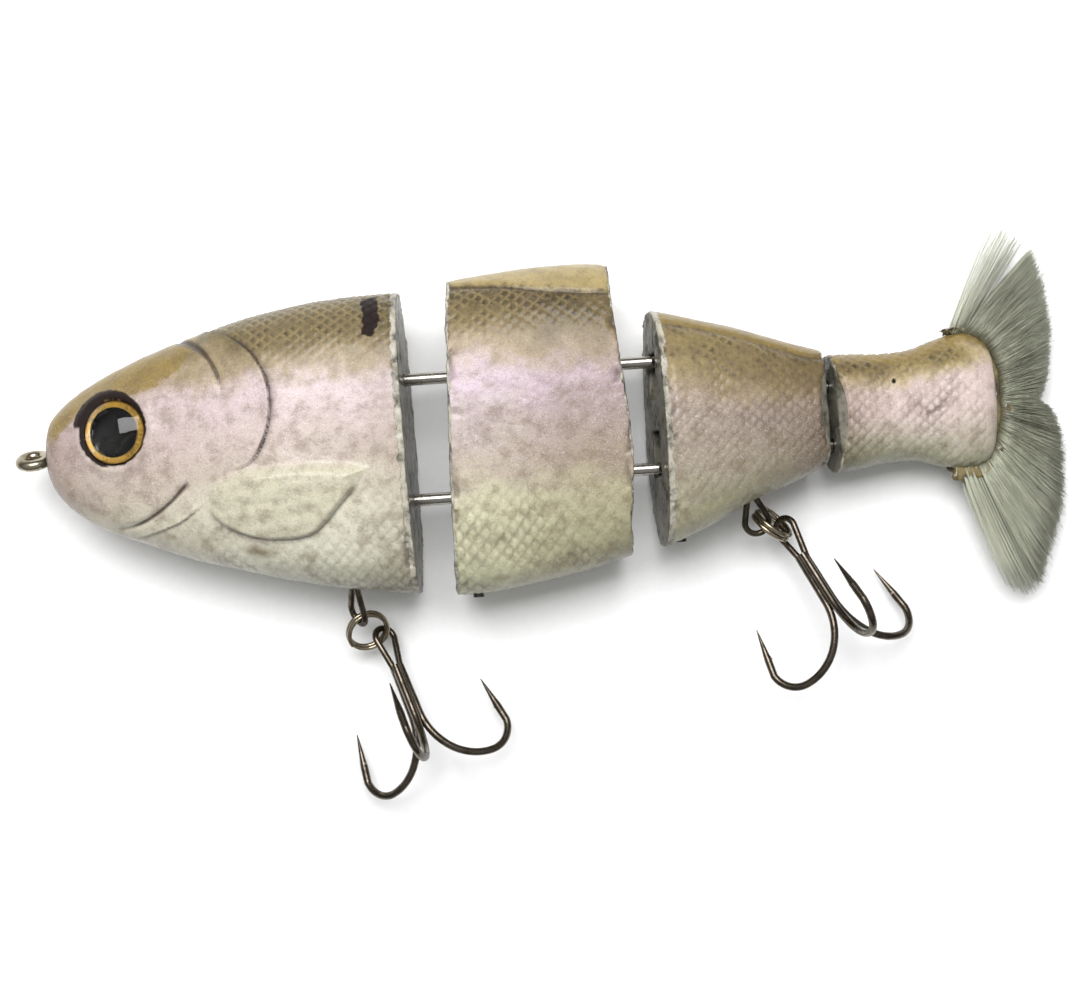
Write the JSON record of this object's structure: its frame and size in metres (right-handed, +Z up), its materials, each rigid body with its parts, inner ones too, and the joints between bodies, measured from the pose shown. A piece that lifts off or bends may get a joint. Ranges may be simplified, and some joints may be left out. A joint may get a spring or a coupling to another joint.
{
  "type": "jointed swimbait",
  "caption": "Jointed hard swimbait lying on its flank: four hinged resin sections, domed eyes, brush tail and treble hooks on split rings.",
  "frame": {"origin": "on the ground under the middle of the whole lure as it lies on its right flank", "axes": "+X from the nose to the tail, +Y towards the back, +Z up, out of the left flank"},
  "size_m": [0.1588, 0.0818, 0.024],
  "materials": {
    "painted_resin": "pearl paint over cast resin, worn at the cut edges",
    "hinge_steel": "drawn wire",
    "lead": "cast",
    "filler": "sanded filler",
    "hook_wire": "dark bronzed finish",
    "ring_wire": "dull nickel plate",
    "tie_wire": "dull wire",
    "iris_gold": "gold foil",
    "pupil_black": "gloss",
    "eye_clear": "clear dome",
    "glue": "set epoxy",
    "bristle": "crimped nylon bristles"
  },
  "bodies": {
    "head_section": {"head_body": "painted_resin", "hinge_1_upper_screw_eye": "hinge_steel", "hinge_1_lower_screw_eye": "hinge_steel", "line_tie": "tie_wire", "left_eye_iris": "iris_gold", "left_eye_pupil": "pupil_black", "left_eye_lens": "eye_clear", "right_eye_iris": "iris_gold", "right_eye_pupil": "pupil_black", "right_eye_lens": "eye_clear", "head_ballast": "lead", "head_ballast_plug": "filler", "front_hook_hanger": "hook_wire"},
    "mid_section": {"mid_body": "painted_resin", "hinge_1_pin": "hinge_steel", "hinge_2_upper_screw_eye": "hinge_steel", "hinge_2_lower_screw_eye": "hinge_steel", "mid_ballast": "lead", "mid_ballast_plug": "filler"},
    "rear_section": {"rear_body": "painted_resin", "hinge_2_pin": "hinge_steel", "hinge_3_pin": "hinge_steel", "rear_ballast": "lead", "rear_ballast_plug": "filler", "rear_hook_hanger": "hook_wire"},
    "tail_section": {"tail_body": "painted_resin", "hinge_3_upper_screw_eye": "hinge_steel", "hinge_3_lower_screw_eye": "hinge_steel", "brush_upper_lobe": "bristle", "brush_lower_lobe": "bristle", "brush_glue": "glue"},
    "front_split_ring": {"front_split_ring": "ring_wire"},
    "rear_split_ring": {"rear_split_ring": "ring_wire"},
    "front_treble_hook": {"front_treble_hook": "hook_wire"},
    "rear_treble_hook": {"rear_treble_hook": "hook_wire"}
  },
  "joints": [
    {"name": "head_to_mid_hinge", "type": "hinge", "parent": "head_section", "child": "mid_section", "pos_m": [-0.01113, 0.01363, 0.0105], "axis": [0, 1, 0], "range_deg": [-36, 34]},
    {"name": "mid_to_rear_hinge", "type": "hinge", "parent": "mid_section", "child": "rear_section", "pos_m": [0.01967, 0.01488, 0.0105], "axis": [0, 1, 0], "range_deg": [-36, 24]},
    {"name": "rear_to_tail_hinge", "type": "hinge", "parent": "rear_section", "child": "tail_section", "pos_m": [0.03807, 0.01308, 0.00857], "axis": [0, 1, 0], "range_deg": [-13, 11]},
    {"name": "front_ring_swing", "type": "hinge", "parent": "head_section", "child": "front_split_ring", "pos_m": [-0.02957, -0.01353, 0.00608], "axis": [0.5908, -0.2948, 0.7511], "range_deg": [-40, 30]},
    {"name": "front_hook_swing", "type": "hinge", "parent": "front_split_ring", "child": "front_treble_hook", "pos_m": [-0.02643, -0.0162, 0.00331], "axis": [0.5924, 0.7788, 0.2063], "range_deg": [-35, 45]},
    {"name": "rear_ring_swing", "type": "hinge", "parent": "rear_section", "child": "rear_split_ring", "pos_m": [0.03322, -0.00285, 0.00742], "axis": [-0.3924, -0.8919, -0.2249], "range_deg": [-40, 30]},
    {"name": "rear_hook_swing", "type": "hinge", "parent": "rear_split_ring", "child": "rear_treble_hook", "pos_m": [0.03647, -0.00426, 0.00422], "axis": [-0.1756, 0.5122, -0.8408], "range_deg": [-20, 25]}
  ]
}
